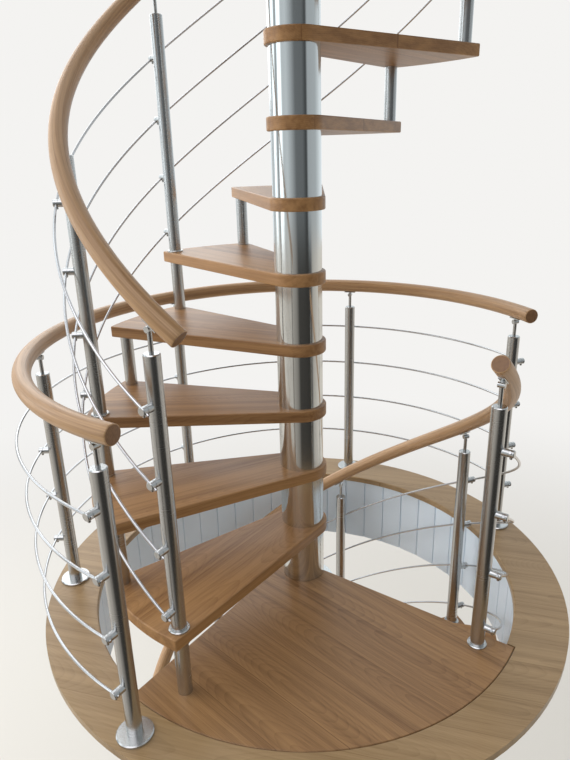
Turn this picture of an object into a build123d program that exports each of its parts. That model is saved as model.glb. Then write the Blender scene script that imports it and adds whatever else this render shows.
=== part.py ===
from build123d import *

import math
import os

# Spiral staircase of oak and stainless steel, in millimetres.
# The origin is on the pole's axis, on the underside of the base plate; +Z is up.
# Angles are in degrees from +X, anticlockwise seen from above. The stair climbs clockwise,
# so a higher tread stands at a smaller angle.

# Storeys: the lower flight rises from the ground to the landing, the upper one goes on from it.
LOWER_RISERS = 13
LOWER_RISE = 212.5
LOWER_STEP_ANGLE = 27.45
UPPER_RISERS = 13
UPPER_RISE = 218.0
UPPER_STEP_ANGLE = 25.71

# Pole: a steel core tube with polished sleeves between the treads.
CORE_RADIUS = 57.15
CORE_WALL = 5.0
SLEEVE_RADIUS = 73.0
SLEEVE_WALL = 2.5
HUB_CLEARANCE = 0.3
BASE_RADIUS = 180.0
BASE_THICKNESS = 15.0
BASE_EDGE = 2.0
BASE_BOLT_MARGIN = 30.0
BASE_BOLT_COUNT = 6
BASE_BOLT_HOLE = 14.0
CAP_THICKNESS = 8.0
CAP_LIP = 2.0
COLLAR_WIDTH = 35.0
COLLAR_THICKNESS = 8.0

# Treads: oak wedges whose sides run tangent to the ring that wraps the pole.
TREAD_RADIUS = 692.0
TREAD_THICKNESS = 38.0
TREAD_OVERLAP_ANGLE = 4.5
TREAD_LEAD_ANGLE = 2.2
TREAD_CORNER = 6.0
TREAD_EDGE = 4.0
HUB_WALL = 11.0

# Landings: a wide wedge in the floor's plane, with a straight front edge that cuts past the pole.
LANDING_LAP = 24.0
LANDING_SWEEP_ANGLE = 99.1
LANDING_LEAD_ANGLE = 3.8
LANDING_FRONT_WIDTH = 36.0
LANDING_EDGE = 2.0

# Floor opening: an oak rim round the well, on a drum of white boards.
WELL_CLEARANCE = 32.0
RIM_MARGIN = 64.0
RIM_THICKNESS = 22.0
RIM_NOSE = 6.0
RIM_SEAM = 3.0
LINING_RECESS = 6.0
LINING_THICKNESS = 18.0
LINING_DROP = 316.0
LINING_SEAM = 1.0

# Balusters: brushed tubes, each with a rosette, a cap and a swivel pin under the handrail.
# The same tube makes the spacers from each tread's front corner down to the tread below.
BALUSTER_INSET = 44.0
TUBE_RADIUS = 21.2
TUBE_WALL = 2.0
ROSETTE_BRIM = 7.8
ROSETTE_THICKNESS = 6.0
GUARD_ROSETTE_BRIM = 28.8
GUARD_ROSETTE_THICKNESS = 8.0
CAP_HEIGHT = 5.0
PIN_RADIUS = 6.0
KNUCKLE_RADIUS = 8.0
KNUCKLE_LENGTH = 20.0
SADDLE_OVERHANG = 1.8
SADDLE_WIDTH = 18.0
SADDLE_THICKNESS = 3.0
SADDLE_NECK = 7.0
SEAT_CLEARANCE = 0.2
FIRST_UPPER_ANGLE = 236.8
FIRST_LOWER_ANGLE = 323.0
TREADS_PER_BALUSTER = 2

# Handrails and the four rods under them. A drop is measured down from the top of the tube.
RAIL_RADIUS = 25.0
RAIL_ABOVE_TREAD = 892.0
RAIL_PIN_REACH = 112.0
RAIL_LOWER_OVERHANG_ANGLE = 7.4
RAIL_UPPER_OVERHANG_ANGLE = 2.2
RAIL_END_EDGE = 2.5
ROD_RADIUS = 4.0
ROD_OFFSET = 43.0
ROD_COUNT = 4
ROD_FIRST = 70.0
ROD_TOP_DROP = 123.5
ROD_OVERHANG = 14.0
ROD_JOINT = 1.0
ROD_FIT = 0.25
HOLDER_RADIUS = 11.0
HOLDER_TIP = 9.0
HOLDER_EDGE = 1.5
GROOVE_WIDTH = 1.4
GROOVE_DEPTH = 1.2
GROOVE_LAND = 0.6
SCREW_RADIUS = 4.0
SCREW_LENGTH = 6.0
SCREW_EDGE = 1.5

# Level guard round the well.
GUARD_SETBACK = 102.0
GUARD_FIRST_ANGLE = 235.5
GUARD_STEP_ANGLE = 54.2
GUARD_BALUSTERS = 5
GUARD_RAIL_HEIGHT = 877.0
GUARD_PIN_REACH = 97.0
GUARD_RAIL_FIRST_OVERHANG_ANGLE = 4.1
GUARD_RAIL_LAST_OVERHANG_ANGLE = 5.8
GUARD_ROD_FIRST = 170.5
GUARD_ROD_TOP_DROP = 96.5

# Turns, how near an edge has to be to be picked, and sizes that follow from the ones above.
FULL_TURN = 360.0
QUARTER_TURN = 90.0
PICK_MARGIN = 0.5
HUB_RADIUS = SLEEVE_RADIUS + HUB_WALL
SADDLE_LENGTH = 2 * (TUBE_RADIUS + SADDLE_OVERHANG)
ROD_HOLE_RADIUS = ROD_RADIUS + ROD_FIT
COLLAR_RADIUS = SLEEVE_RADIUS + COLLAR_WIDTH
BALUSTER_CIRCLE = TREAD_RADIUS - BALUSTER_INSET
WELL_RADIUS = TREAD_RADIUS + WELL_CLEARANCE
LANDING_RADIUS = WELL_RADIUS + LANDING_LAP
GUARD_CIRCLE = WELL_RADIUS + GUARD_SETBACK
LANDING_TOP = LOWER_RISERS * LOWER_RISE
TOP_LANDING_TOP = LANDING_TOP + UPPER_RISERS * UPPER_RISE
POLE_TOP = TOP_LANDING_TOP + RAIL_ABOVE_TREAD + RAIL_RADIUS


def polar(radius, angle):
    """Point at a radius and an angle in degrees, in the plane z = 0."""
    a = math.radians(angle)
    return (radius * math.cos(a), radius * math.sin(a), 0.0)


def at(radius, angle, height):
    """Local frame on a circle round the pole: X runs clockwise, Y outwards, Z up."""
    x, y, _ = polar(radius, angle)
    return Location((x, y, height), (0, 0, angle - QUARTER_TURN))


def tube(radius, wall, bottom, top):
    """Upright tube from one height to another."""
    ring = Circle(radius) - Circle(radius - wall)
    return Pos(0, 0, bottom) * extrude(ring, top - bottom)


def disc(radius, bottom, top):
    return Pos(0, 0, bottom) * extrude(Circle(radius), top - bottom)


def outline(edges):
    return make_face(Wire(edges))


def wedge_outline(radius, hub, front, back):
    """Plan of a tread: an outer arc and two sides tangent to the hub circle."""
    swing = math.degrees(math.acos(hub / radius))
    front_touch = front + swing
    back_touch = back - swing
    hub_middle = (front_touch - FULL_TURN + back_touch) / 2
    return outline([
        Edge.make_three_point_arc(polar(radius, front), polar(radius, (front + back) / 2), polar(radius, back)),
        Edge.make_line(polar(radius, back), polar(hub, back_touch)),
        Edge.make_three_point_arc(polar(hub, back_touch), polar(hub, hub_middle), polar(hub, front_touch)),
        Edge.make_line(polar(hub, front_touch), polar(radius, front)),
    ])


def landing_outline(front, grow=0.0):
    """Plan of a landing whose front corner is at an angle, or the same plan grown all round."""
    radius = LANDING_RADIUS + grow
    hub = HUB_RADIUS + grow
    offset = LANDING_FRONT_WIDTH + grow
    corner_swing = math.degrees(math.asin(LANDING_FRONT_WIDTH / LANDING_RADIUS))
    front_line = front - corner_swing
    front_corner = front_line + math.degrees(math.asin(offset / radius))
    back = front - LANDING_SWEEP_ANGLE
    back_line = back + math.degrees(math.asin(HUB_RADIUS / LANDING_RADIUS))
    back_corner = back_line - math.degrees(math.asin(hub / radius))
    back_touch = back_line - QUARTER_TURN
    hub_start = front_line + QUARTER_TURN + math.degrees(math.acos(offset / hub))
    hub_middle = (back_touch + hub_start - FULL_TURN) / 2
    middle = (front_corner + back_corner) / 2
    outer = Edge.make_three_point_arc(polar(radius, front_corner), polar(radius, middle), polar(radius, back_corner))
    return outline([
        outer,
        Edge.make_line(polar(radius, back_corner), polar(hub, back_touch)),
        Edge.make_three_point_arc(polar(hub, back_touch), polar(hub, hub_middle), polar(hub, hub_start)),
        Edge.make_line(polar(hub, hub_start), polar(radius, front_corner)),
    ])


def level_edges(solid, height):
    return solid.edges().filter_by_position(Axis.Z, height - PICK_MARGIN, height + PICK_MARGIN)


def make_base():
    """Round base plate with a ring of bolt holes, its underside at z = 0."""
    plate = disc(BASE_RADIUS, 0.0, BASE_THICKNESS)
    plate = chamfer(level_edges(plate, BASE_THICKNESS), BASE_EDGE)
    hole = Cylinder(BASE_BOLT_HOLE / 2, 3 * BASE_THICKNESS)
    for i in range(BASE_BOLT_COUNT):
        plate = plate - at(BASE_RADIUS - BASE_BOLT_MARGIN, i * FULL_TURN / BASE_BOLT_COUNT, 0.0) * hole
    return plate


def make_tread(step_angle):
    """Tread with its front corner at angle 0 and its top at z = 0."""
    plan = wedge_outline(TREAD_RADIUS, HUB_RADIUS, 0.0, -step_angle - TREAD_OVERLAP_ANGLE)
    board = Pos(0, 0, -TREAD_THICKNESS) * extrude(plan, TREAD_THICKNESS)
    upright = board.edges().filter_by(Axis.Z)
    corners = [e for e in upright if math.hypot(e.center().X, e.center().Y) > TREAD_RADIUS - PICK_MARGIN]
    board = fillet(corners, TREAD_CORNER)
    board = fillet(level_edges(board, 0.0) + level_edges(board, -TREAD_THICKNESS), TREAD_EDGE)
    return board - disc(CORE_RADIUS + HUB_CLEARANCE, -TREAD_THICKNESS, 0.0)


def make_landing(front):
    """Landing plate with its top at z = 0, notched for the pole."""
    board = Pos(0, 0, -TREAD_THICKNESS) * extrude(landing_outline(front), TREAD_THICKNESS)
    board = chamfer(level_edges(board, 0.0), LANDING_EDGE)
    return board - disc(SLEEVE_RADIUS + HUB_CLEARANCE, -TREAD_THICKNESS, 0.0)


def make_rosette(brim, thickness):
    """Floor flange of a baluster, with its underside at z = 0; the brim is what shows round the tube."""
    plate = disc(TUBE_RADIUS + brim, 0.0, thickness)
    return chamfer(level_edges(plate, thickness), thickness / 3)


def make_pin(slope, rail_height, tube_top):
    """Cap, pin, knuckle and saddle of one baluster; slope is the handrail's, in degrees."""
    saddle_base = SADDLE_NECK + KNUCKLE_RADIUS / 2
    reach = RAIL_RADIUS + SEAT_CLEARANCE + SADDLE_THICKNESS + saddle_base
    knuckle = rail_height - reach / math.cos(math.radians(slope))
    cap = disc(TUBE_RADIUS, tube_top, tube_top + CAP_HEIGHT)
    cap = chamfer(level_edges(cap, tube_top + CAP_HEIGHT), CAP_HEIGHT / 2)
    pin = disc(PIN_RADIUS, tube_top, knuckle)
    barrel = Pos(0, 0, knuckle) * Rot(QUARTER_TURN, 0, 0) * Cylinder(KNUCKLE_RADIUS, KNUCKLE_LENGTH)
    neck = Pos(0, 0, saddle_base / 2) * Cylinder(PIN_RADIUS, saddle_base)
    plate = Pos(0, 0, saddle_base + SADDLE_THICKNESS / 2) * Box(SADDLE_LENGTH, SADDLE_WIDTH, SADDLE_THICKNESS)
    saddle = Pos(0, 0, knuckle) * Rot(0, -slope, 0) * (neck + plate)
    return cap + pin + barrel + saddle


def make_holder(slope):
    """Turned rod holder at the local origin, reaching out along +Y, with a groove just inside its rod."""
    tip = ROD_OFFSET + HOLDER_TIP
    groove_end = ROD_OFFSET - ROD_HOLE_RADIUS - GROOVE_LAND
    groove = Circle(HOLDER_RADIUS) - Circle(HOLDER_RADIUS - GROOVE_DEPTH)
    body = disc(HOLDER_RADIUS, 0.0, tip)
    body = chamfer(level_edges(body, tip), HOLDER_EDGE)
    body = body - Pos(0, 0, groove_end - GROOVE_WIDTH) * extrude(groove, GROOVE_WIDTH)
    body = Rot(-QUARTER_TURN, 0, 0) * body
    screw = disc(SCREW_RADIUS, -HOLDER_RADIUS - SCREW_LENGTH, -ROD_RADIUS)
    screw = chamfer(level_edges(screw, -HOLDER_RADIUS - SCREW_LENGTH), SCREW_EDGE)
    rod_hole = Rot(0, QUARTER_TURN - slope, 0) * Cylinder(ROD_HOLE_RADIUS, 6 * HOLDER_RADIUS)
    tube_seat = Cylinder(TUBE_RADIUS, 3 * HOLDER_RADIUS)
    return body + Pos(0, ROD_OFFSET, 0) * screw - Pos(0, ROD_OFFSET, 0) * rod_hole - tube_seat


def along(path, radius):
    """Round bar along a path, cut square at both ends."""
    section = Plane(origin=path @ 0, z_dir=path % 0) * Circle(radius)
    return sweep(section, path=path, is_frenet=True)


def handrail(path):
    """Round oak rail along a path, with an eased tip on each square end."""
    tip = Pos(0, 0, RAIL_END_EDGE / 2) * Cone(RAIL_RADIUS, RAIL_RADIUS - RAIL_END_EDGE, RAIL_END_EDGE)
    first = Plane(origin=path @ 0, z_dir=-(path % 0)) * tip
    last = Plane(origin=path @ 1, z_dir=path % 1) * tip
    return along(path, RAIL_RADIUS) + first + last


def ring_path(circle, start, end, height):
    """Level arc round the pole, clockwise from start to end."""
    middle = (start + end) / 2
    arc = Edge.make_three_point_arc(polar(circle, start), polar(circle, middle), polar(circle, end))
    return arc.translate((0, 0, height))


def bays(angles, circle):
    """Start and end angle of the rod in each bay: butt joints at the holders, overhangs at the ends."""
    joint = math.degrees(ROD_JOINT / 2 / circle)
    overhang = math.degrees(ROD_OVERHANG / circle)
    spans = []
    for here, there in zip(angles, angles[1:]):
        start = here + (overhang if here == angles[0] else -joint)
        end = there - (overhang if there == angles[-1] else -joint)
        spans.append((start, end))
    return spans


def rod_heights(first, top_drop, tube_top):
    """Evenly spaced heights of the rods above the foot of a baluster."""
    spacing = (tube_top - first - top_drop) / (ROD_COUNT - 1)
    return [first + i * spacing for i in range(ROD_COUNT)]


class Flight:
    """One spiral run: where its treads, balusters, handrail and rods stand."""

    def __init__(self, risers, rise, step_angle, base_height, baluster_angle, first_tread):
        self.risers = risers
        self.rise = rise
        self.step_angle = step_angle
        self.base_height = base_height
        self.baluster_angle = baluster_angle
        self.first_tread = first_tread
        self.pitch = rise * FULL_TURN / step_angle

    def height(self, number):
        """Top of a tread, counted from the flight's own floor; the last one is the landing."""
        return self.base_height + number * self.rise

    def angle(self, number):
        """Angle of the baluster and spacer line of a tread."""
        return self.baluster_angle - (number - self.first_tread) * self.step_angle

    def slope(self, radius):
        return math.degrees(math.atan(self.pitch / (2 * math.pi * radius)))

    def baluster_numbers(self):
        return list(range(self.risers, 0, -TREADS_PER_BALUSTER))[::-1]

    def helix(self, radius, start, end, height):
        """Helix from a start angle down to an end angle; height is its z at the last baluster."""
        top = self.angle(self.risers)
        z = height + (top - start) / self.step_angle * self.rise
        climb = (start - end) / self.step_angle * self.rise
        path = Edge.make_helix(self.pitch, climb, radius, lefthand=True)
        return path.rotate(Axis.Z, start).translate((0, 0, z))


lower = Flight(LOWER_RISERS, LOWER_RISE, LOWER_STEP_ANGLE, 0.0, FIRST_LOWER_ANGLE, LOWER_RISERS)
upper = Flight(UPPER_RISERS, UPPER_RISE, UPPER_STEP_ANGLE, LANDING_TOP, FIRST_UPPER_ANGLE, 1)
landing_front = lower.angle(LOWER_RISERS) + LANDING_LEAD_ANGLE
top_landing_front = upper.angle(UPPER_RISERS) + LANDING_LEAD_ANGLE

# Base plate, core and cap of the pole.
nodes = {}
nodes["base_plate"] = [make_base()]
nodes["pole_core"] = [tube(CORE_RADIUS, CORE_WALL, BASE_THICKNESS, POLE_TOP)]
cap = disc(SLEEVE_RADIUS + CAP_LIP, POLE_TOP, POLE_TOP + CAP_THICKNESS)
nodes["pole_cap"] = [fillet(level_edges(cap, POLE_TOP + CAP_THICKNESS), CAP_THICKNESS / 2)]

# Treads and landings.
tread_tops = []
for flight, word in ((lower, "lower"), (upper, "upper")):
    shape = make_tread(flight.step_angle)
    for number in range(1, flight.risers):
        front = flight.angle(number) + TREAD_LEAD_ANGLE
        name = "tread_%s_%02d" % (word, number)
        nodes[name] = [Pos(0, 0, flight.height(number)) * Rot(0, 0, front) * shape]
        tread_tops.append(flight.height(number))
nodes["landing_plate"] = [Pos(0, 0, LANDING_TOP) * make_landing(landing_front)]
nodes["top_landing"] = [Pos(0, 0, TOP_LANDING_TOP) * make_landing(top_landing_front)]

# Sleeves between the treads. A sleeve that passes through a landing carries it on a collar.
sleeves = []
bottom = BASE_THICKNESS
for top in [z - TREAD_THICKNESS for z in tread_tops] + [POLE_TOP]:
    sleeve = tube(SLEEVE_RADIUS, SLEEVE_WALL, bottom, top)
    for landing in (LANDING_TOP, TOP_LANDING_TOP):
        seat = landing - TREAD_THICKNESS
        if bottom < seat < top:
            collar = Circle(COLLAR_RADIUS) - Circle(SLEEVE_RADIUS)
            sleeve = sleeve + Pos(0, 0, seat - COLLAR_THICKNESS) * extrude(collar, COLLAR_THICKNESS)
    sleeves.append(sleeve)
    bottom = top + TREAD_THICKNESS
nodes["pole_sleeves"] = sleeves

# Spacers from each tread or landing up to the one above it.
spacers = []
for flight, first in ((lower, 2), (upper, 1)):
    spacer = tube(TUBE_RADIUS, TUBE_WALL, 0.0, flight.rise - TREAD_THICKNESS)
    for number in range(first, flight.risers + 1):
        spacers.append(at(BALUSTER_CIRCLE, flight.angle(number), flight.height(number - 1)) * spacer)
nodes["tread_spacers"] = spacers

# Balusters, pins, handrails and rods of the two spiral runs.
rosettes = []
pins = []
holders = []
spiral_tube_top = RAIL_ABOVE_TREAD - RAIL_PIN_REACH
spiral_rod_circle = BALUSTER_CIRCLE + ROD_OFFSET
spiral_rods = rod_heights(ROD_FIRST, ROD_TOP_DROP, spiral_tube_top)
spiral_rosette = make_rosette(ROSETTE_BRIM, ROSETTE_THICKNESS)
spiral_post = tube(TUBE_RADIUS, TUBE_WALL, ROSETTE_THICKNESS, spiral_tube_top)
for flight, word in ((lower, "lower"), (upper, "upper")):
    pin = make_pin(flight.slope(BALUSTER_CIRCLE), RAIL_ABOVE_TREAD, spiral_tube_top)
    holder = make_holder(flight.slope(spiral_rod_circle))
    numbers = flight.baluster_numbers()
    angles = [flight.angle(number) for number in numbers]
    posts = []
    for number, angle in zip(numbers, angles):
        place = at(BALUSTER_CIRCLE, angle, flight.height(number))
        posts.append(place * spiral_post)
        rosettes.append(place * spiral_rosette)
        pins.append(place * pin)
        holders += [place * Pos(0, 0, height) * holder for height in spiral_rods]
    nodes["balusters_" + word] = posts
    landing_height = flight.height(flight.risers)
    rail_path = flight.helix(BALUSTER_CIRCLE, angles[0] + RAIL_LOWER_OVERHANG_ANGLE,
                             angles[-1] - RAIL_UPPER_OVERHANG_ANGLE, landing_height + RAIL_ABOVE_TREAD)
    nodes["handrail_" + word] = [handrail(rail_path)]
    rods = []
    for height in spiral_rods:
        for start, end in bays(angles, spiral_rod_circle):
            rods.append(along(flight.helix(spiral_rod_circle, start, end, landing_height + height), ROD_RADIUS))
    nodes["rods_" + word] = rods

# Floor rim and boarded lining of the well, both cut out round the landing plate.
floor_ring = Circle(GUARD_CIRCLE + RIM_MARGIN) - Circle(WELL_RADIUS)
rim = Pos(0, 0, LANDING_TOP - RIM_THICKNESS) * extrude(floor_ring, RIM_THICKNESS)
inner_edge = [e for e in level_edges(rim, LANDING_TOP) if abs(e.radius - WELL_RADIUS) < PICK_MARGIN]
rim = fillet(inner_edge, RIM_NOSE)
rim_notch = extrude(landing_outline(landing_front, RIM_SEAM), 2 * RIM_THICKNESS)
nodes["well_rim"] = [rim - Pos(0, 0, LANDING_TOP - RIM_THICKNESS) * rim_notch]

lining_inner = WELL_RADIUS + LINING_RECESS
lining_top = LANDING_TOP - RIM_THICKNESS
lining = tube(lining_inner + LINING_THICKNESS, LINING_THICKNESS, LANDING_TOP - LINING_DROP, lining_top)
lining_notch = extrude(landing_outline(landing_front, LINING_SEAM), TREAD_THICKNESS)
nodes["well_lining"] = [lining - Pos(0, 0, LANDING_TOP - TREAD_THICKNESS) * lining_notch]

# Level guard round the well.
guard_angles = [GUARD_FIRST_ANGLE - i * GUARD_STEP_ANGLE for i in range(GUARD_BALUSTERS)]
guard_tube_top = GUARD_RAIL_HEIGHT - GUARD_PIN_REACH
guard_rod_circle = GUARD_CIRCLE + ROD_OFFSET
guard_rods = rod_heights(GUARD_ROD_FIRST, GUARD_ROD_TOP_DROP, guard_tube_top)
guard_rosette = make_rosette(GUARD_ROSETTE_BRIM, GUARD_ROSETTE_THICKNESS)
guard_post = tube(TUBE_RADIUS, TUBE_WALL, GUARD_ROSETTE_THICKNESS, guard_tube_top)
guard_pin = make_pin(0.0, GUARD_RAIL_HEIGHT, guard_tube_top)
guard_holder = make_holder(0.0)
guard_posts = []
for angle in guard_angles:
    place = at(GUARD_CIRCLE, angle, LANDING_TOP)
    guard_posts.append(place * guard_post)
    rosettes.append(place * guard_rosette)
    pins.append(place * guard_pin)
    holders += [place * Pos(0, 0, height) * guard_holder for height in guard_rods]
nodes["guard_balusters"] = guard_posts
nodes["guard_handrail"] = [handrail(ring_path(GUARD_CIRCLE, guard_angles[0] + GUARD_RAIL_FIRST_OVERHANG_ANGLE,
                                              guard_angles[-1] - GUARD_RAIL_LAST_OVERHANG_ANGLE,
                                              LANDING_TOP + GUARD_RAIL_HEIGHT))]
nodes["guard_rods"] = [along(ring_path(guard_rod_circle, start, end, LANDING_TOP + height), ROD_RADIUS)
                       for height in guard_rods for start, end in bays(guard_angles, guard_rod_circle)]
nodes["baluster_rosettes"] = rosettes
nodes["handrail_pins"] = pins
nodes["rod_holders"] = holders

os.makedirs("parts", exist_ok=True)
for name, pieces in nodes.items():
    solids = [solid for piece in pieces for solid in piece.solids()]
    shape = solids[0] if len(solids) == 1 else Compound(solids)
    export_step(shape, "parts/%s.step" % name)
    print("%-20s %3d solids" % (name, len(solids)))
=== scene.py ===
# %% [markdown]
# # A two-storey spiral staircase in oak and stainless steel
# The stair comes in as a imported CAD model: every tread, tube and plate already has its true size
# and place. This lesson gives each of them its finish, and remakes the pieces whose look depends
# on the way a pattern runs along them: the round handrails, the thin rods and the boarded well.
# Each code cell prints what it made or measured, so that a slip shows at once.

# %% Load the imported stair
import math

import bpy
import numpy as np
from mathutils import Matrix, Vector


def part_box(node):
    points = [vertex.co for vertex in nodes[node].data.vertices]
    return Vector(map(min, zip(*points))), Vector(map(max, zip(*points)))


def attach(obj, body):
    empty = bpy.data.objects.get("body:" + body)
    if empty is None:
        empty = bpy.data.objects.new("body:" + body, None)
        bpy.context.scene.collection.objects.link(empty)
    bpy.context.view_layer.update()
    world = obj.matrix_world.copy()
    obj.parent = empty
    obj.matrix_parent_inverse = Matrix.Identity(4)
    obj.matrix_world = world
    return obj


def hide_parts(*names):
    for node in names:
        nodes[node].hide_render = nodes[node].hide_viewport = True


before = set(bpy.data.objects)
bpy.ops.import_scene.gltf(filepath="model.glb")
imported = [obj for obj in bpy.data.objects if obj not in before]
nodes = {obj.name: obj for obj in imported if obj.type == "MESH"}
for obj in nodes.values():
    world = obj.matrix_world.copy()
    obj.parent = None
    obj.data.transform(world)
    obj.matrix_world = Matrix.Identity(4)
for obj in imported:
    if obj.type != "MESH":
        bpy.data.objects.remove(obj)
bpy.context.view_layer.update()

# %% [markdown]
# ## The numbers that the stair is laid out from
# A spiral stair follows from its floors, the number of its risers, the turn of one step and the
# place of its posts. The new pieces could be fitted to the CAD meshes point by point, but worked
# out from the same numbers they lie in the same place and stay smooth. Heights are read from the
# frame, so that they follow it. Lengths are in metres. Angles are in degrees from +X, seen from
# above, and fall as the stair climbs, because it turns clockwise.

# %% Floors and steps
RISERS = 13
LANDING_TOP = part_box("landing_plate")[1].z
TOP_LANDING_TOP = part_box("top_landing")[1].z
UPPER_STEP = 25.71
UPPER_FIRST_POST = 236.8
FLIGHTS = {
    "lower": {"base": 0.0, "rise": LANDING_TOP / RISERS, "step": 27.45, "last_post": 323.0},
    "upper": {"base": LANDING_TOP, "rise": (TOP_LANDING_TOP - LANDING_TOP) / RISERS,
              "step": UPPER_STEP, "last_post": UPPER_FIRST_POST - (RISERS - 1) * UPPER_STEP},
}
print("risers", [round(f["rise"], 4) for f in FLIGHTS.values()], "landing", round(LANDING_TOP, 4))

# %% [markdown]
# ## Colours and nodes
# A colour is written as an sRGB hex value, as one reads it off a picture, but a shader wants it
# linear, so one function converts it. Nodes could be joined by hand in the editor. A helper that
# adds one node with its settings and links lets a material read like a recipe instead, and gives
# the same result every time.


# %% The linear values of a colour
def linear(code):
    """Linear RGBA of an sRGB hex code: each channel goes through the sRGB curve backwards."""
    srgb = np.array([int(code[i:i + 2], 16) for i in (0, 2, 4)]) / 255
    rgb = np.where(srgb <= 0.04045, srgb / 12.92, ((srgb + 0.055) / 1.055) ** 2.4)
    return (*rgb.tolist(), 1.0)


print("the middle grey 808080 is", [round(v, 3) for v in linear("808080")])


# %% One node with its settings and links
def add(tree, kind, *values, use=None, **named):
    """Adds a shader node and returns one output: its first, or the one that use names. The values
    fill its inputs in order. A name that starts with a capital is an input, and any other is a
    setting. An output among the values is linked, and anything else is set."""
    node = tree.nodes.new("ShaderNode" + kind)
    for name, value in named.items():
        if name[0].islower():
            setattr(node, name, value)
    inputs = [socket for socket in node.inputs if socket.enabled]
    by_name = {socket.name.replace(" ", "_"): socket for socket in inputs}
    given = list(zip(inputs, values))
    given += [(by_name[name], value) for name, value in named.items() if name[0].isupper()]
    for socket, value in given:
        if isinstance(value, bpy.types.NodeSocket):
            tree.links.new(value, socket)
        else:
            socket.default_value = value
    outputs = [socket for socket in node.outputs if socket.enabled]
    return next((socket for socket in outputs if use in (None, socket.name)), None)


def new_finish(name):
    """A material named for the real finish, and its node tree, still empty."""
    material = bpy.data.materials.new(name)
    material.use_nodes = True
    material.node_tree.nodes.clear()
    return material, material.node_tree


print("helpers for finishes ready")

# %% [markdown]
# ## How oak is drawn
# Treads, landings and rails are oak, planed and oiled. Oil fills the pores without a film, so the
# eye reads the wood itself: year rings, bands of tone, and short dark pores that run along the
# grain. An image of wood would repeat and would stop at each board's edge. A pattern worked out
# from the place in the board runs on over its edges and ends, as wood does.
#
# The streaks are noise drawn out along the grain. Real pores are about 0.3 mm wide, too fine for
# the picture, so they are drawn 1.6 mm wide on the boards and 2.2 mm on the rails.


# %% Streaks along the grain
def streaks(tree, along, across, up, length, width, detail, roughness=0.6):
    """Noise drawn out along the grain: each direction is divided by a fibre's size in it."""
    sizes = (length, width, width)
    scaled = [add(tree, "Math", way, 1 / size, operation="MULTIPLY")
              for way, size in zip((along, across, up), sizes)]
    place = add(tree, "CombineXYZ", *scaled)
    return add(tree, "TexNoise", Vector=place, Scale=1.0, Detail=detail, Roughness=roughness)


def grain(tree, along, across, up, kinds, shade):
    """Darkens a shade by several kinds of streaks, each (length, width, detail, low, high, share):
    where its noise goes from low to high, from none to the whole share is added. Returns the shade
    and the noise of the last kind, the pores, which also roughen the surface."""
    for length, width, detail, low, high, share in kinds:
        fibres = streaks(tree, along, across, up, length, width, detail)
        shown = add(tree, "MapRange", fibres, low, high, interpolation_type="SMOOTHSTEP")
        shade = add(tree, "Math", shown, share, shade, operation="MULTIPLY_ADD")
    return shade, fibres


print("helpers for streaks ready")

# %% [markdown]
# ## Year rings
# Flat-sawn oak shows its rings as long arches where the saw ran nearly along them, and as straight
# lines beside them. Streaks alone give no arches. They come out of a real cut: here the rings are
# cylinders round a pith that wanders in depth along the log, and the surface cuts through them. A
# ring is 4.8 mm wide, a fast-grown oak's, because the usual 2 to 3 mm would blur in the picture.

# %% Year rings where a surface cuts the log
RING_WIDTH = 0.0048
LOG_SPREAD = 3.7
PITH_LOW, PITH_HIGH = -0.06, 0.24
PITH_WAVES = 0.8
WOBBLE = 0.012
WOBBLE_LENGTH, WOBBLE_WIDTH = 1 / 6, 0.025


def year_rings(tree, along, across, up, shift):
    """0 to 1 over each ring: the distance to the pith, which is the root of the side squared plus
    the depth squared, counted in ring widths, less its whole part. Along the log the depth wanders
    from PITH_LOW to PITH_HIGH and the side wobbles. shift sets each stave apart in the log."""
    start = add(tree, "Math", shift, LOG_SPREAD, along, operation="MULTIPLY_ADD")
    wander = add(tree, "TexNoise", noise_dimensions="1D", W=start, Scale=PITH_WAVES, Detail=1.0,
                 Roughness=0.4)
    pith = add(tree, "Math", wander, PITH_HIGH - PITH_LOW, PITH_LOW, operation="MULTIPLY_ADD")
    depth = add(tree, "Math", pith, up, operation="ADD")
    wobble = streaks(tree, start, across, up, WOBBLE_LENGTH, WOBBLE_WIDTH, detail=3.0,
                     roughness=0.55)
    side = add(tree, "Math", wobble, WOBBLE, across, operation="MULTIPLY_ADD")
    squares = [add(tree, "Math", leg, leg, operation="MULTIPLY") for leg in (side, depth)]
    reach = add(tree, "Math", add(tree, "Math", *squares, operation="ADD"), operation="SQRT")
    rings = add(tree, "Math", reach, 1 / RING_WIDTH, operation="MULTIPLY")
    return add(tree, "Math", rings, operation="FRACT")


print("one year ring every", RING_WIDTH * 1000, "mm")

# %% [markdown]
# ## Boards glued up from staves
# A tread this wide would warp if it were one plank, so it is glued up from narrow staves. Each
# stave comes from another tree: its tone jumps at the glue line, and so do its rings. Staves
# modelled one by one would each need a mesh. It is enough to number them by their distance from
# the front edge, and to give each number its own tone and its own place in a log.

# %% Staves and their glue lines
FAR_FROM_JOINTS = 1.0


def staves(tree, across, joints, seed):
    """Each stave's number, the place across it, and the distance to the nearest joint. Past a joint
    the number is one more, and the width of the stave before it is taken off the place."""
    number, inner, seam, start = seed, across, FAR_FROM_JOINTS, 0.0
    for joint in joints:
        passed = add(tree, "Math", across, joint, operation="GREATER_THAN")
        number = add(tree, "Math", number, passed, operation="ADD")
        skipped = add(tree, "Math", passed, joint - start, operation="MULTIPLY")
        inner = add(tree, "Math", inner, skipped, operation="SUBTRACT")
        offset = add(tree, "Math", across, joint, operation="SUBTRACT")
        distance = add(tree, "Math", offset, operation="ABSOLUTE")
        seam = add(tree, "Math", seam, distance, operation="MINIMUM")
        start = joint
    return number, inner, seam


print("helper for staves ready")

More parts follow.
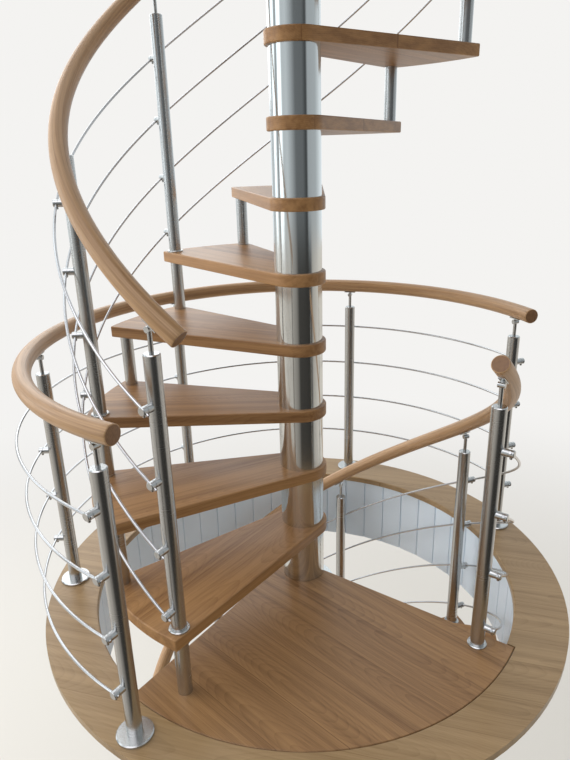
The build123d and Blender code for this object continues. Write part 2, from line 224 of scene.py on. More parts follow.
# %% [markdown]
# ## Oiled oak boards
# The finish puts the parts together. Late wood, the dense last part of each ring, is darker, and
# cubing the ring's 0 to 1 keeps it narrow. Wide bands, long flames and pores lie over it. A glue
# line is a hair's breadth, drawn about 2 mm wide so that it shows. Oil leaves a soft gloss, a
# little duller in the pores, and its IOR is 1.48. The relief is shallow, because the boards are
# sanded. So the eye sees warm wood with a broad sheen towards the light, not a varnished film.

# %% Oak boards laid from a corner in one direction
STAVE_SEED = 7.31
LOG_LENGTH = 9.0
PITH_BESIDE = 0.16
LATE_WOOD, LATE_WOOD_POWER = 0.22, 3.0
STAVE_DARKEST, STAVE_PALEST = 0.14, -0.12
GLUE_FULL, GLUE_GONE, GLUE_SHADE = 0.0004, 0.0018, 0.80
OIL_IOR = 1.48
SMOOTH_WOOD, DULL_PORES = 0.06, 0.16
RING_DEPTH, PORE_DEPTH = 0.25, 0.5
BOARD_STREAKS = (
    (0.9, 0.030, 2.0, 0.32, 0.70, 0.46),
    (0.5, 0.008, 3.0, 0.36, 0.70, 0.20),
    (0.045, 0.0016, 3.0, 0.50, 0.72, 0.22),
)


def oak_boards(name, corner, turn, joints, pale, deep, gloss=0.36):
    """Oiled oak in staves that run from corner in the direction turn, with glue lines at joints.
    The shade adds up the late wood, the streaks and the stave's own tone, and is at least
    GLUE_SHADE on a glue line; the colour goes from pale to deep with it. The roughness is gloss,
    less SMOOTH_WOOD, plus DULL_PORES times the pores."""
    material, tree = new_finish(name)
    laid = add(tree, "Mapping", add(tree, "TexCoord", use="Object"), vector_type="TEXTURE",
               Location=corner, Rotation=(0.0, 0.0, math.radians(turn)))
    along, across, up = add(tree, "SeparateXYZ", laid).node.outputs
    number, inner, seam = staves(tree, across, joints, STAVE_SEED * corner[2])
    tone = add(tree, "TexWhiteNoise", number, noise_dimensions="1D")
    beside = add(tree, "Math", tone, PITH_BESIDE, operation="MULTIPLY")
    from_pith = add(tree, "Math", inner, beside, operation="SUBTRACT")
    shift = add(tree, "Math", tone, LOG_LENGTH, operation="MULTIPLY")
    rings = year_rings(tree, along, from_pith, up, shift)
    late = add(tree, "Math", rings, LATE_WOOD_POWER, operation="POWER")
    shade = add(tree, "Math", late, LATE_WOOD, operation="MULTIPLY")
    in_log = add(tree, "Math", along, shift, operation="ADD")
    shade, pores = grain(tree, in_log, across, up, BOARD_STREAKS, shade)
    own = add(tree, "Math", tone, STAVE_DARKEST - STAVE_PALEST, STAVE_PALEST,
              operation="MULTIPLY_ADD")
    shade = add(tree, "Math", shade, own, operation="ADD")
    glue = add(tree, "MapRange", seam, GLUE_FULL, GLUE_GONE, GLUE_SHADE, 0.0,
               interpolation_type="SMOOTHSTEP")
    shade = add(tree, "Math", shade, glue, operation="MAXIMUM")
    colour = add(tree, "Mix", shade, linear(pale), linear(deep), data_type="RGBA")
    rough = add(tree, "Math", pores, DULL_PORES, gloss - SMOOTH_WOOD, operation="MULTIPLY_ADD")
    ridges = add(tree, "Math", late, RING_DEPTH, operation="MULTIPLY")
    relief = add(tree, "Math", pores, PORE_DEPTH, ridges, operation="MULTIPLY_ADD")
    bump = add(tree, "Bump", Height=relief, Strength=0.12, Distance=0.0006)
    oak = add(tree, "BsdfPrincipled", Base_Color=colour, Roughness=rough, IOR=OIL_IOR, Normal=bump)
    add(tree, "OutputMaterial", oak)
    return material


print("kinds of streaks on a board", len(BOARD_STREAKS))

# %% [markdown]
# ## Treads
# Each tread is a wedge whose staves run along its front edge. One material for all of them would
# lay its staves across most treads, so each tread gets its own, laid from its front corner along
# that edge. The edge is tangent to the ring that wraps the pole, so it leaves the line to the
# pole's axis by the angle whose sine is the ring's radius over the tread's.

# %% A finish for each tread
TREAD_OAK = ("b08556", "734c27")
TREAD_RADIUS = 0.692
TREAD_RING = 0.084
TREAD_LEAD = 2.2
TREAD_JOINTS = (0.148, 0.252)


def wear(name, material):
    """Gives a CAD node one material in place of its own."""
    mesh = nodes[name].data
    mesh.materials.clear()
    mesh.materials.append(material)


for word, flight in FLIGHTS.items():
    for number in range(1, RISERS):
        front = flight["last_post"] + (RISERS - number) * flight["step"] + TREAD_LEAD
        corner = (TREAD_RADIUS * math.cos(math.radians(front)),
                  TREAD_RADIUS * math.sin(math.radians(front)),
                  flight["base"] + number * flight["rise"])
        inward = front + 180 - math.degrees(math.asin(TREAD_RING / TREAD_RADIUS))
        name = "tread_%s_%02d" % (word, number)
        finish = "oiled oak, " + name.replace("_", " ")
        wear(name, oak_boards(finish, corner, inward, TREAD_JOINTS, *TREAD_OAK))
print("treads finished", len(FLIGHTS) * (RISERS - 1))

# %% [markdown]
# ## Landings and the rim of the opening
# A landing is one wide wedge of the same oak. Its staves run slantwise to its front edge, with six
# glue lines between them. The rim is the edge of the floor round the opening: paler and glossier
# boards, 140 mm wide, that run in another direction. One finish for both would be quicker, but the
# change of boards tells the eye where the stair ends. So each has its own colours and its own turn.

# %% Landings and rim
LANDING_OAK = ("a47e54", "69482a")
LANDING_JOINTS = (-0.60, -0.47, -0.33, -0.20, -0.07, 0.06)
LANDING_TURN, TOP_LANDING_TURN = -44, -6.8
RIM_OAK = ("a88c66", "816642")
RIM_BOARD, RIM_BOARDS, RIM_START, RIM_TURN = 0.14, 13, -0.84, -16

wear("landing_plate", oak_boards("oiled oak, landing", (0, 0, LANDING_TOP), LANDING_TURN,
                                 LANDING_JOINTS, *LANDING_OAK))
wear("top_landing", oak_boards("oiled oak, top landing", (0, 0, TOP_LANDING_TOP), TOP_LANDING_TURN,
                               LANDING_JOINTS, *LANDING_OAK))
rim_joints = [round(RIM_START + RIM_BOARD * i, 2) for i in range(RIM_BOARDS)]
wear("well_rim", oak_boards("oiled oak, rim of the floor", (0, 0, LANDING_TOP), RIM_TURN,
                            rim_joints, *RIM_OAK, gloss=0.30))
print("boards across the rim", len(rim_joints) + 1)

# %% [markdown]
# ## Stainless steel
# The posts and spacers are ground tube: a belt leaves fine scratches round them, which dull the
# mirror a little. The pole's sleeves are polished with a wheel until they mirror what is round
# them, and the last fine lines round each sleeve draw its highlights out up and down the pole. The
# rods are drawn through a die, which leaves them bright and plain. All are bare metal, fully
# metallic, of nearly the same neutral tint, and differ in roughness and in scratches.
#
# An image of scratches would show its seam on a round tube. Noise that changes fast with height
# and slowly round the piece has none. A scratch is 0.02 to 0.1 mm wide. It is drawn 1.2 to 4 mm
# wide, near the finest that the picture can show.

# %% Ground, polished and drawn steel
SCRATCH_WAVES = 6.0
PATCH_WAVES = 9.0
EVEN_SHARE, SCRATCH_SHARE, PATCH_SHARE = 0.8, 0.15, 0.25


def steel(name, tint, roughness, scratch, depth, drawn_out):
    """Bare stainless steel with scratches in rings round an upright piece: noise that changes over
    one scratch's width up the piece, and slowly round it. The roughness is its value times the sum
    of EVEN_SHARE, SCRATCH_SHARE times the scratches and PATCH_SHARE times soft patches. drawn_out
    is how far a highlight is stretched up and down."""
    material, tree = new_finish(name)
    place = add(tree, "TexCoord", use="Object")
    rings = add(tree, "Mapping", place, Scale=(SCRATCH_WAVES, SCRATCH_WAVES, 1 / scratch))
    scratches = add(tree, "TexNoise", Vector=rings, Scale=1.0, Detail=2.0, Roughness=0.7)
    patches = add(tree, "TexNoise", Vector=place, Scale=PATCH_WAVES, Detail=1.0, Roughness=0.5)
    rough = add(tree, "Math", scratches, roughness * SCRATCH_SHARE, roughness * EVEN_SHARE,
                operation="MULTIPLY_ADD")
    rough = add(tree, "Math", patches, roughness * PATCH_SHARE, rough, operation="MULTIPLY_ADD")
    bump = add(tree, "Bump", Height=scratches, Strength=depth, Distance=0.0002)
    upright = add(tree, "CombineXYZ", Z=1.0)
    metal = add(tree, "BsdfPrincipled", Base_Color=linear(tint), Metallic=1.0, Roughness=rough,
                Anisotropic=drawn_out, Tangent=upright, Normal=bump)
    add(tree, "OutputMaterial", metal)
    return material


satin_steel = steel("ground stainless steel tube", "c2c3c2", 0.26, 0.0012, 0.0015, 0.2)
polished_steel = steel("polished stainless steel", "dadddc", 0.12, 0.004, 0.002, 0.8)
bright_rod = steel("drawn stainless rod", "cccccd", 0.20, 0.002, 0.001, 0.0)

GROUND = ("base_plate", "pole_core", "tread_spacers", "balusters_lower", "balusters_upper",
          "guard_balusters", "baluster_rosettes", "handrail_pins", "rod_holders")
POLISHED = ("pole_sleeves", "pole_cap")
for name in GROUND:
    wear(name, satin_steel)
for name in POLISHED:
    wear(name, polished_steel)
print("nodes of ground steel", len(GROUND), "and of polished steel", len(POLISHED))

# %% [markdown]
# ## Surfaces from profiles
# Everything long and round here is a profile carried along a path. A curve object with a bevel
# could do that too. A mesh was chosen because each of its points can also keep its place in the
# straightened piece, in metres. The wood grain reads that, and bends with the rail, as it does on
# a rail bent from thin layers of oak. The points come out as one array, rows along the path and
# columns round the profile, so that a whole set of rods is worked out at once.

# %% A mesh from grids of points
SHARP_ANGLE = 40


def skin(name, points, layout, materials, end_material=0):
    """Closed skins over grids shaped (pieces, rows, columns, 3): quads between neighbouring rows,
    columns closed round, and one flat face over each end. layout holds the straightened places.
    The volume inside is a sixth of the sum of each quad's first corner, from the middle, times
    the cross product of its diagonals. If it is negative, the faces are turned round."""
    pieces, rows, columns, _ = points.shape
    index = np.arange(pieces * rows * columns).reshape(pieces, rows, columns)
    right = np.roll(index, -1, axis=2)
    quads = np.stack([index[:, :-1], right[:, :-1], right[:, 1:], index[:, 1:]], axis=-1)
    quads = quads.reshape(-1, 4)
    ends = np.concatenate([index[:, 0, ::-1], index[:, -1, :]])
    flat = points.reshape(-1, 3)
    corners = flat[quads]
    crossed = np.cross(corners[:, 2] - corners[:, 0], corners[:, 3] - corners[:, 1])
    volume = np.sum((corners[:, 0] - flat.mean(axis=0)) * crossed) / 6
    if volume < 0:
        quads, ends = quads[:, ::-1], ends[:, ::-1]
    mesh = bpy.data.meshes.new(name)
    mesh.from_pydata(flat, [], quads.tolist() + ends.tolist())
    faces = len(mesh.polygons)
    mesh.polygons.foreach_set("use_smooth", np.ones(faces, bool))
    for material in materials:
        mesh.materials.append(material)
    kinds = np.where(np.arange(faces) < len(quads), 0, end_material)
    mesh.polygons.foreach_set("material_index", kinds)
    straight = mesh.attributes.new("straight", "FLOAT_VECTOR", "POINT")
    straight.data.foreach_set("vector", layout.reshape(-1))
    mesh.set_sharp_from_angle(angle=math.radians(SHARP_ANGLE))
    made = bpy.data.objects.new(name, mesh)
    bpy.context.collection.objects.link(made)
    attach(made, "root")
    print(name, "pieces", pieces, "faces", faces)
    return made


# %% A path that climbs as it turns
def helix(circle, start, end, height, slope, rows):
    """Points at (circle cos angle, circle sin angle, height + slope times (start - angle)), the way
    that the path runs at each, and the way straight out from the axis. slope is per degree."""
    angle = np.linspace(start, end, rows)
    a = np.radians(angle)
    out = np.stack([np.cos(a), np.sin(a), np.zeros(rows)], axis=1)
    path = out * circle
    path[:, 2] = height + slope * (start - angle)
    way = np.stack([np.sin(a), -np.cos(a), np.full(rows, math.degrees(slope) / circle)], axis=1)
    way /= np.linalg.norm(way, axis=1, keepdims=True)
    return path, way, out


print("a full turn in 5 rows is", helix(1.0, 360, 0, 0.0, 0.0, 5)[0].round(2).tolist())

# %% A round bar on a path
EDGE_ROWS = 4


def bar(path, way, out, radius, columns, edge=0.0):
    """Rings of columns points round each point of the path, in the plane square to its way: the
    point plus radius times (cos t out + sin t up). With an edge, both ends close in a quarter
    round: rows reach edge cos u past the end, with a radius less by edge (1 - sin u)."""
    up = np.cross(out, way)
    steps = np.linalg.norm(np.diff(path, axis=0), axis=1)
    length = np.concatenate([[0.0], np.cumsum(steps)])
    size = np.full(len(path), radius)
    if edge:
        u = np.linspace(0, math.pi / 2, EDGE_ROWS)
        reach, fall = edge * np.cos(u), edge * (1 - np.sin(u))
        before = path[:1] - reach[:, None] * way[:1]
        after = path[-1:] + reach[::-1, None] * way[-1:]
        path = np.concatenate([before, path[1:-1], after])
        length = np.concatenate([-reach, length[1:-1], length[-1] + reach[::-1]])
        size = np.concatenate([radius - fall, size[1:-1], radius - fall[::-1]])
        times = np.ones(len(way), int)
        times[[0, -1]] = EDGE_ROWS
        way, out, up = [np.repeat(direction, times, axis=0) for direction in (way, out, up)]
    t = np.linspace(0, 2 * math.pi, columns, endpoint=False)
    circle = np.stack([np.cos(t), np.sin(t)], axis=1)[None] * size[:, None, None]
    points = path[:, None] + circle[..., :1] * out[:, None] + circle[..., 1:] * up[:, None]
    along = np.broadcast_to(length[:, None, None], circle[..., :1].shape)
    return points, np.concatenate([along, circle], axis=-1)


print("rows in the rounded edge of a bar", EDGE_ROWS)

# %% [markdown]
# ## Oak of the handrails
# A round oak rail this tight can't be sawn from one plank: thin layers are bent round a former,
# glued, and turned round. So its grain follows the curve, with long streaks and a small jump of
# tone from layer to layer, and the flat end shows darker end grain with the layers cut across.
# Grain laid by the place in space would cut across the rail instead. It is sanded finer than the
# treads and rubbed by hands, so it is a little glossier, and a soft light line runs along its top.

# %% Oiled oak of the rails
LAYER, LAYER_START = 0.0085, 0.1
LAYER_SEED, LAYER_SHIFT = 0.37, 5.0
LAYER_TONE = 0.12
CUT_WIDTH, CUT_SLANT = 0.0045, 0.35
CUT_SHARE, SIDE_SHARE = 0.45, 0.5
RAIL_ROUGHNESS, RAIL_DULL_PORES = 0.27, 0.15
RAIL_STREAKS = (
    (0.55, 0.009, 3.0, 0.30, 0.72, 0.62),
    (0.10, 0.0022, 3.0, 0.48, 0.78, 0.42),
)


def rail_oak(name, pale, deep, end_grain=False):
    """Layered oak that reads each point's place in the straightened rail: (along, across, up). A
    layer's number is the whole part of LAYER_START plus across, in layers, and white noise gives
    it a tone. End grain is SIDE_SHARE of the shade plus CUT_SHARE times how far a cut is passed,
    where cuts lie CUT_WIDTH apart over the sum of across and CUT_SLANT times up."""
    material, tree = new_finish(name)
    place = add(tree, "Attribute", attribute_name="straight", use="Vector")
    along, across, up = add(tree, "SeparateXYZ", place).node.outputs
    started = add(tree, "Math", across, LAYER_START, operation="ADD")
    layers = add(tree, "Math", started, 1 / LAYER, operation="MULTIPLY")
    layer = add(tree, "Math", layers, operation="FLOOR")
    seed = add(tree, "Math", layer, LAYER_SEED, operation="ADD")
    tone = add(tree, "TexWhiteNoise", seed, noise_dimensions="1D")
    in_plank = add(tree, "Math", tone, LAYER_SHIFT, along, operation="MULTIPLY_ADD")
    shade = add(tree, "Math", tone, LAYER_TONE, operation="MULTIPLY")
    shade, pores = grain(tree, in_plank, across, up, RAIL_STREAKS, shade)
    if end_grain:
        slant = add(tree, "Math", up, CUT_SLANT, across, operation="MULTIPLY_ADD")
        cuts = add(tree, "Math", slant, 1 / CUT_WIDTH, operation="MULTIPLY")
        passed = add(tree, "Math", cuts, operation="FRACT")
        side = add(tree, "Math", shade, SIDE_SHARE, operation="MULTIPLY")
        shade = add(tree, "Math", passed, CUT_SHARE, side, operation="MULTIPLY_ADD")
    colour = add(tree, "Mix", shade, linear(pale), linear(deep), data_type="RGBA")
    rough = add(tree, "Math", pores, RAIL_DULL_PORES, RAIL_ROUGHNESS, operation="MULTIPLY_ADD")
    bump = add(tree, "Bump", Height=pores, Strength=0.10, Distance=0.0005)
    oak = add(tree, "BsdfPrincipled", Base_Color=colour, Roughness=rough, IOR=OIL_IOR, Normal=bump)
    add(tree, "OutputMaterial", oak)
    return material


rail_side = rail_oak("oiled oak rail", "c29d75", "8f6a45")
rail_end = rail_oak("oiled oak end grain", "8f6a49", "5f422b", end_grain=True)
print("rail layers", LAYER * 1000, "mm thick")

# %% [markdown]
# ## The three handrails
# Each flight has a rail over its posts that climbs with the steps, and the guard's rail is level,
# which is the same path with no slope. The CAD rails could be kept, but they can't tell the grain
# where a point lies along the rail. The ends are cut square with an eased edge. It is a quarter
# round here and fuller than the CAD model's chamfer, so the topmost end stops 0.1 degree, about
# 1 mm, sooner and stays in the CAD's box.

# %% Handrails as bars on a helix
POST_CIRCLE = 0.648
GUARD_CIRCLE = 0.826
GUARD_POSTS = 235.5 - 54.2 * np.arange(5)
RAIL_RADIUS = 0.025
RAIL_EDGE = 0.0025
RAIL_HEIGHT, GUARD_RAIL_HEIGHT = 0.892, 0.877
RAIL_OVERHANGS, GUARD_OVERHANGS = (7.4, 2.1), (4.1, 5.8)
RAIL_ROWS, GUARD_RAIL_ROWS, RAIL_COLUMNS = 240, 180, 40


def spiral(flight, circle, overhangs, heights, rows):
    """Paths at some heights above a flight's treads, from its first post to its last, and by the
    overhangs, in degrees, past them. Each climbs by one riser over one step, and passes the last
    post at its height above the flight's landing."""
    last = flight["last_post"]
    start = last + (RISERS - 1) * flight["step"] + overhangs[0]
    end = last - overhangs[1]
    slope = flight["rise"] / flight["step"]
    foot = flight["base"] + RISERS * flight["rise"] + slope * (last - start)
    return [helix(circle, start, end, foot + height, slope, rows) for height in heights]


def level(circle, overhangs, heights, rows):
    """Level paths at some heights above the landing, past the guard's first and last posts."""
    start, end = GUARD_POSTS[0] + overhangs[0], GUARD_POSTS[-1] - overhangs[1]
    return [helix(circle, start, end, LANDING_TOP + height, 0.0, rows) for height in heights]


rails = {"handrail_" + word: spiral(flight, POST_CIRCLE, RAIL_OVERHANGS, [RAIL_HEIGHT], RAIL_ROWS)
         for word, flight in FLIGHTS.items()}
rails["guard_handrail"] = level(GUARD_CIRCLE, GUARD_OVERHANGS, [GUARD_RAIL_HEIGHT],
                                GUARD_RAIL_ROWS)
for name, [(path, way, out)] in rails.items():
    points, straight = bar(path, way, out, RAIL_RADIUS, RAIL_COLUMNS, RAIL_EDGE)
    rail = skin("oak_" + name, points[None], straight[None], [rail_side, rail_end], end_material=1)
    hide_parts(name)
print("handrails", len(rails))

# %% [markdown]
# ## Rods
# Four thin rods follow each rail, outside the posts. In the CAD model they are cut inside every
# holder, so that each solid is simple. Here each one runs through, as the eye sees it. Bevelled
# curve objects would look the same, but the function for the rails makes these too. A thin rod
# needs few columns but many rows, or its curve would show corners against the light.

# %% The rods of both flights and of the guard
ROD_RADIUS = 0.004
ROD_OFFSET = 0.043
ROD_OVERHANG = math.degrees(0.014 / (POST_CIRCLE + ROD_OFFSET))
GUARD_ROD_OVERHANG = 0.9
ROD_HEIGHTS = np.linspace(0.070, 0.6565, 4)
GUARD_ROD_HEIGHTS = np.linspace(0.1705, 0.6835, 4)
ROD_ROWS, GUARD_ROD_ROWS, ROD_COLUMNS = 220, 150, 12

rod_sets = {"rods_" + word: spiral(flight, POST_CIRCLE + ROD_OFFSET, (ROD_OVERHANG, ROD_OVERHANG),
                                   ROD_HEIGHTS, ROD_ROWS)
            for word, flight in FLIGHTS.items()}
rod_sets["guard_rods"] = level(GUARD_CIRCLE + ROD_OFFSET, (GUARD_ROD_OVERHANG, GUARD_ROD_OVERHANG),
                               GUARD_ROD_HEIGHTS, GUARD_ROD_ROWS)
for name, paths in rod_sets.items():
    grids = [bar(path, way, out, ROD_RADIUS, ROD_COLUMNS) for path, way, out in paths]
    points, straight = [np.stack(part) for part in zip(*grids)]
    rods = skin("steel_" + name, points, straight, [bright_rod])
    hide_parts(name)
print("rods", sum(len(paths) for paths in rod_sets.values()))

# %% [markdown]
# ## Paint
# The well is lined with boards that are brushed with white paint. One even white would look like
# plastic. So its cool white has soft clouds where the coat is thicker, and shallow brush marks that
# run down the boards and break up its dull gloss. The backs lie hidden in the floor, so they are
# taken to have only grey primer, brushed on in the same way but duller. A brush's bristles leave
# marks under 1 mm wide. They are drawn 4 mm wide and 110 mm long.

# %% White paint in sight, grey primer on the backs
BRUSH_WAVES = (260.0, 260.0, 9.0)
CLOUD_WAVES = 5.0


def painted(name, pale, deep, roughness):
    """Brushed paint on an upright board: noise drawn out downwards for the brush marks, and broad
    noise that goes from pale to deep for the clouds."""
    material, tree = new_finish(name)
    place = add(tree, "TexCoord", use="Object")
    brushed = add(tree, "Mapping", place, Scale=BRUSH_WAVES)
    marks = add(tree, "TexNoise", Vector=brushed, Scale=1.0, Detail=2.0, Roughness=0.5)
    cloud = add(tree, "TexNoise", Vector=place, Scale=CLOUD_WAVES, Detail=2.0, Roughness=0.5)
    colour = add(tree, "Mix", cloud, linear(pale), linear(deep), data_type="RGBA")
    bump = add(tree, "Bump", Height=marks, Strength=0.15, Distance=0.0004)
    paint = add(tree, "BsdfPrincipled", Base_Color=colour, Roughness=roughness, Normal=bump)
    add(tree, "OutputMaterial", paint)
    return material


white_paint = painted("white painted boards", "e8f3fd", "d9e6f2", 0.5)
primer = painted("grey primer on the backs of the boards", "c4c5c2", "b3b5b3", 0.6)
print("brush marks", round(1000 / BRUSH_WAVES[0]), "mm wide")

# %% [markdown]
# ## The boarded well
# Narrow boards stand round the floor opening like the staves of a tub. A smooth ring with grooves
# in its bump would look right only from far away. So each board is its own closed strip with eased
# edges, and a V groove shows between neighbours. Joints lie at even turns, with two more at the
# landing's corners, because under the landing the boards stop lower. Seen from above, a board has
# eight points, two at each eased corner: four in front, then four at the back.

# %% Joints and heights of the boards
BOARDS = 51
FIRST_JOINT = 1.6
LANDING_SIDES = (227.4, 326.95)
LANDING_THICKNESS, LANDING_GAP = 0.038, 0.001
RIM_THICKNESS = 0.022
WELL_DEPTH = 0.316

even = (FIRST_JOINT + np.arange(BOARDS) * 360 / BOARDS) % 360
joints = np.sort(np.concatenate([even, LANDING_SIDES]))
left, right = joints, np.concatenate([joints[1:], joints[:1] + 360])
middle = (left + right) / 2
under = (middle > LANDING_SIDES[0]) & (middle < LANDING_SIDES[1])
tops = np.where(under, LANDING_TOP - LANDING_THICKNESS - LANDING_GAP, LANDING_TOP - RIM_THICKNESS)
print("boards", len(joints), "of them under the landing", int(under.sum()))

# %% Boards with eased edges
WELL_INNER, WELL_OUTER = 0.730, 0.748
GROOVE_HALF, GROOVE_DEPTH = 0.0030, 0.0050

front, back = WELL_INNER + GROOVE_DEPTH, WELL_OUTER - GROOVE_DEPTH
radii = np.array([front, WELL_INNER, WELL_INNER, front, back, WELL_OUTER, WELL_OUTER, back])
ease = math.degrees(GROOVE_HALF / WELL_INNER)
turns = np.stack([left, left + ease, right - ease, right,
                  right, right - ease, left + ease, left], axis=1)
t = np.radians(turns)
plan = np.stack([radii * np.cos(t), radii * np.sin(t)], axis=-1)
heights = np.stack([np.full(len(tops), LANDING_TOP - WELL_DEPTH), tops], axis=1)
columns = len(radii)
points = np.concatenate([np.repeat(plan[:, None], 2, axis=1),
                         np.repeat(heights[:, :, None, None], columns, axis=2)], axis=-1)
lining = skin("white_well_boards", points, points, [white_paint, primer])
BACK_FACES = slice(4, 7)
finishes = np.zeros(len(lining.data.polygons), np.int32)
finishes[:columns * len(joints)].reshape(-1, columns)[:, BACK_FACES] = 1
lining.data.polygons.foreach_set("material_index", finishes)
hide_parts("well_lining")
print("a board is about", round(math.radians(360 / BOARDS) * WELL_INNER * 1000), "mm wide")

# %% [markdown]
# ## What the metal mirrors
# Polished steel has no look of its own: it shows what is round it, and in a plain pale studio it
# would be plain and pale too. For a picture of steel, dark flags and bright panels are stood beside
# the camera, and they could be modelled. Here upright bands do their work, in the floor and in the
# world, and only glossy rays see them. So they draw the long stripes on the pole and posts and
# light nothing else. An upright tube mirrors the floor where the camera looks down on it, and the
# world where it looks up, so the two have their own bands.


# %% Bands round the stair
def bands(tree, x, y, tint, stops):
    """A tint times a level, by the direction seen from above: the angle from the camera's side, the
    arctangent of x over -y, as a share of a turn plus a half, goes into a ramp of stops. Each stop
    is (degrees from the camera's side, level)."""
    back = add(tree, "Math", y, -1.0, operation="MULTIPLY")
    side = add(tree, "Math", x, back, operation="ARCTAN2")
    turn = add(tree, "Math", side, 1 / (2 * math.pi), 0.5, operation="MULTIPLY_ADD")
    colour = add(tree, "ValToRGB", turn)
    ramp = colour.node.color_ramp
    while len(ramp.elements) < len(stops):
        ramp.elements.new(0.5)
    for element, (angle, strength) in zip(ramp.elements, stops):
        element.position = angle / 360 + 0.5
        element.color = (*[strength * part for part in linear(tint)[:3]], 1.0)
    return colour


LOW_STOPS = [(-180, 0.65), (-130, 0.60), (-112, 0.85), (-92, 0.84), (-64, 0.62), (-42, 0.58),
             (-28, 0.38), (-12, 0.27), (0, 0.06), (60, 0.04), (72, 0.50), (120, 0.80), (180, 0.65)]
HIGH_STOPS = [(-180, 1.10), (-145, 1.10), (-132, 0.70), (-124, 0.70), (-114, 2.20), (-106, 2.00),
              (-97, 0.50), (-88, 0.50), (-80, 2.40), (-69, 2.00), (-61, 0.70), (-42, 0.75),
              (-20, 0.46), (-3, 0.20), (28, 0.18), (42, 0.08), (46, 0.08), (54, 0.50), (95, 0.56),
              (128, 0.95), (180, 1.10)]
print("bands in the floor", len(LOW_STOPS), "and in the world", len(HIGH_STOPS))

# %% [markdown]
# ## Floor
# A pale matt floor keeps the stair's shadow, which sets it on the ground. A small floor would show
# its edge, and a large one a horizon. So it fades into the background's colour from 2.5 m out, for
# camera rays alone, and the light that it sends back to the stair stays the same.

# %% Floor with its bands
BACKDROP = "f4f3f1"
FLOOR_RADIUS = 30
FLOOR_DROP = 0.0005
FADE_START, FADE_END = 2.5, 9.0

bpy.ops.mesh.primitive_circle_add(vertices=96, radius=FLOOR_RADIUS, fill_type="NGON",
                                  location=(0, 0, -FLOOR_DROP))
floor = bpy.context.object
floor.name = "studio_floor"
matt_floor, tree = new_finish("pale studio floor")
spot = add(tree, "TexCoord", use="Object")
x, y, _ = add(tree, "SeparateXYZ", spot).node.outputs
rays = add(tree, "LightPath").node.outputs
plain = add(tree, "BsdfPrincipled", Base_Color=linear("d4d1cb"), Roughness=0.85)
banded = add(tree, "Emission", bands(tree, x, y, "fff7ec", LOW_STOPS), 1.0)
faded = add(tree, "Emission", linear(BACKDROP), 1.0)
away = add(tree, "VectorMath", spot, operation="LENGTH")
fade = add(tree, "MapRange", away, FADE_START, FADE_END, interpolation_type="SMOOTHSTEP")
fade = add(tree, "Math", fade, rays["Is Camera Ray"], operation="MULTIPLY")
seen = add(tree, "MixShader", fade, plain, faded)
add(tree, "OutputMaterial", add(tree, "MixShader", rays["Is Glossy Ray"], seen, banded))
floor.data.materials.append(matt_floor)
print("floor", 2 * FLOOR_RADIUS, "m across")

# %% [markdown]
# ## World
# Soft light from all round keeps the shadows open, as under a bright cloudy sky, and it is brighter
# from behind and the left, so that the treads' tops are lighter than their fronts. Glossy rays see
# the high bands instead, and one bright patch overhead: the rods and holders lie across, so they
# mirror what is above them, and the patch draws the fine light line along their tops. The camera
# sees a plain backdrop. One image of a studio could give all of this at once, but each part is
# easier to set when it has nodes of its own.

# %% World with its bands and the bright patch
BRIGHT_WAY, BRIGHT_FROM, BRIGHT_TO = (-0.56, 0.58, 0.59), -0.9, 0.9
DIM_LEVEL, BRIGHT_LEVEL = 0.20, 1.0
PATCH_WAY, PATCH_FROM, PATCH_TO = (-0.25, -0.45, 0.86), 0.80, 0.94
PATCH_LEVEL = (2.2, 2.18, 2.3, 1.0)

world = bpy.data.worlds.new("studio")
bpy.context.scene.world = world
world.use_nodes = True
tree = world.node_tree
tree.nodes.clear()
way = add(tree, "TexCoord", use="Generated")
x, y, _ = add(tree, "SeparateXYZ", way).node.outputs
rays = add(tree, "LightPath").node.outputs
bright = add(tree, "VectorMath", way, BRIGHT_WAY, operation="DOT_PRODUCT")
strength = add(tree, "MapRange", bright, BRIGHT_FROM, BRIGHT_TO, DIM_LEVEL, BRIGHT_LEVEL,
               interpolation_type="SMOOTHSTEP")
lighting = add(tree, "Background", linear("fbfbf9"), strength)
overhead = add(tree, "VectorMath", way, PATCH_WAY, operation="DOT_PRODUCT")
patch = add(tree, "MapRange", overhead, PATCH_FROM, PATCH_TO, interpolation_type="SMOOTHSTEP")
around = add(tree, "Mix", patch, bands(tree, x, y, "f0f8fd", HIGH_STOPS), PATCH_LEVEL,
             data_type="RGBA")
mirrored = add(tree, "Background", around, 1.0)
backdrop = add(tree, "Background", linear(BACKDROP), 1.0)
unseen = add(tree, "MixShader", rays["Is Glossy Ray"], lighting, mirrored)
add(tree, "OutputWorld", add(tree, "MixShader", rays["Is Camera Ray"], unseen, backdrop))
print("nodes in the world", len(tree.nodes))

# %% [markdown]
# ## Lamps
# The stair stands in daylight from its left. A small lamp would throw hard shadows, so each lamp is
# a square metres wide. The strongest one would also wash out the dark stripes on the steel. It is
# hidden from glossy rays, and the bands stand for it there. The rear one is mirrored, and puts a
# sheen on the treads that the camera looks over, and a weak one in front lifts the fronts.


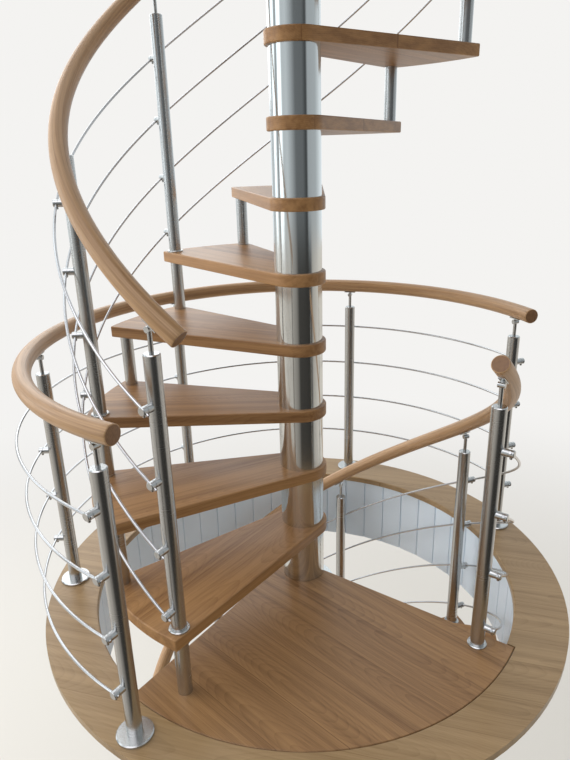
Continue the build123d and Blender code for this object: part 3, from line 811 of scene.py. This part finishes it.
# %% Square lamps
def panel(name, place, target, size, power, mirrored=True):
    """A square area lamp at a place, turned to face a target: tilted by the angle between straight
    down and the target, then turned towards it. One that isn't mirrored only lights."""
    lamp = bpy.data.lights.new(name, "AREA")
    lamp.shape = "SQUARE"
    lamp.size = size
    lamp.energy = power
    made = bpy.data.objects.new(name, lamp)
    bpy.context.collection.objects.link(made)
    x, y, z = [t - p for t, p in zip(target, place)]
    made.location = place
    made.rotation_euler = (math.atan2(math.hypot(x, y), -z), 0, math.atan2(y, x) - math.pi / 2)
    made.visible_glossy = mirrored
    return made


lamps = [
    panel("left light", (-6.5, 1.2, 5.6), (0, 0, 3.6), 6.0, 400, mirrored=False),
    panel("rear light", (-3.0, 6.0, 7.5), (0, 0, 3.4), 6.0, 145),
    panel("front light", (4.5, -4.0, 8.5), (0, 0, 3.0), 5.0, 15),
]
print("lamps", len(lamps), "power", sum(made.data.energy for made in lamps), "W")

# %% [markdown]
# ## Camera
# The picture is taken from 1.4 m above the landing, about a metre outside the guard, with a wide
# lens that looks down by about twenty degrees. The posts lean together towards the floor, and only
# a camera that near and that wide shows them so. It could be aimed at a target, but a target gives
# no roll, so the camera's axes are worked out from three angles.

# %% Camera at the picture's place
EYE = np.array([-0.0455, -1.9369, LANDING_TOP + 1.4320])
YAW, PITCH, ROLL = np.radians([-0.1271, 19.8325, -1.5291])
FOCAL_PIXELS, PICTURE_HEIGHT = 632.37, 760
SENSOR = 24.0

ahead = np.array([math.sin(YAW), math.cos(YAW), 0.0])
beside = np.array([math.cos(YAW), -math.sin(YAW), 0.0])
above = np.array([0.0, 0.0, 1.0])
look = math.cos(PITCH) * ahead - math.sin(PITCH) * above
head = math.sin(PITCH) * ahead + math.cos(PITCH) * above
rightward = math.cos(ROLL) * beside + math.sin(ROLL) * head
upward = math.cos(ROLL) * head - math.sin(ROLL) * beside
turned = np.eye(4)
turned[:3, :3] = np.stack([rightward, upward, -look], axis=1)
turned[:3, 3] = EYE

lens = bpy.data.cameras.new("camera")
lens.sensor_fit = "VERTICAL"
lens.sensor_height = SENSOR
lens.lens = FOCAL_PIXELS / PICTURE_HEIGHT * SENSOR
lens.clip_start = 0.05
camera = bpy.data.objects.new("camera", lens)
camera.matrix_world = Matrix(turned.tolist())
bpy.context.collection.objects.link(camera)
bpy.context.scene.camera = camera
bpy.context.scene.view_settings.view_transform = "Standard"
print("lens", round(lens.lens, 2), "mm, camera at", [round(v, 3) for v in EYE])
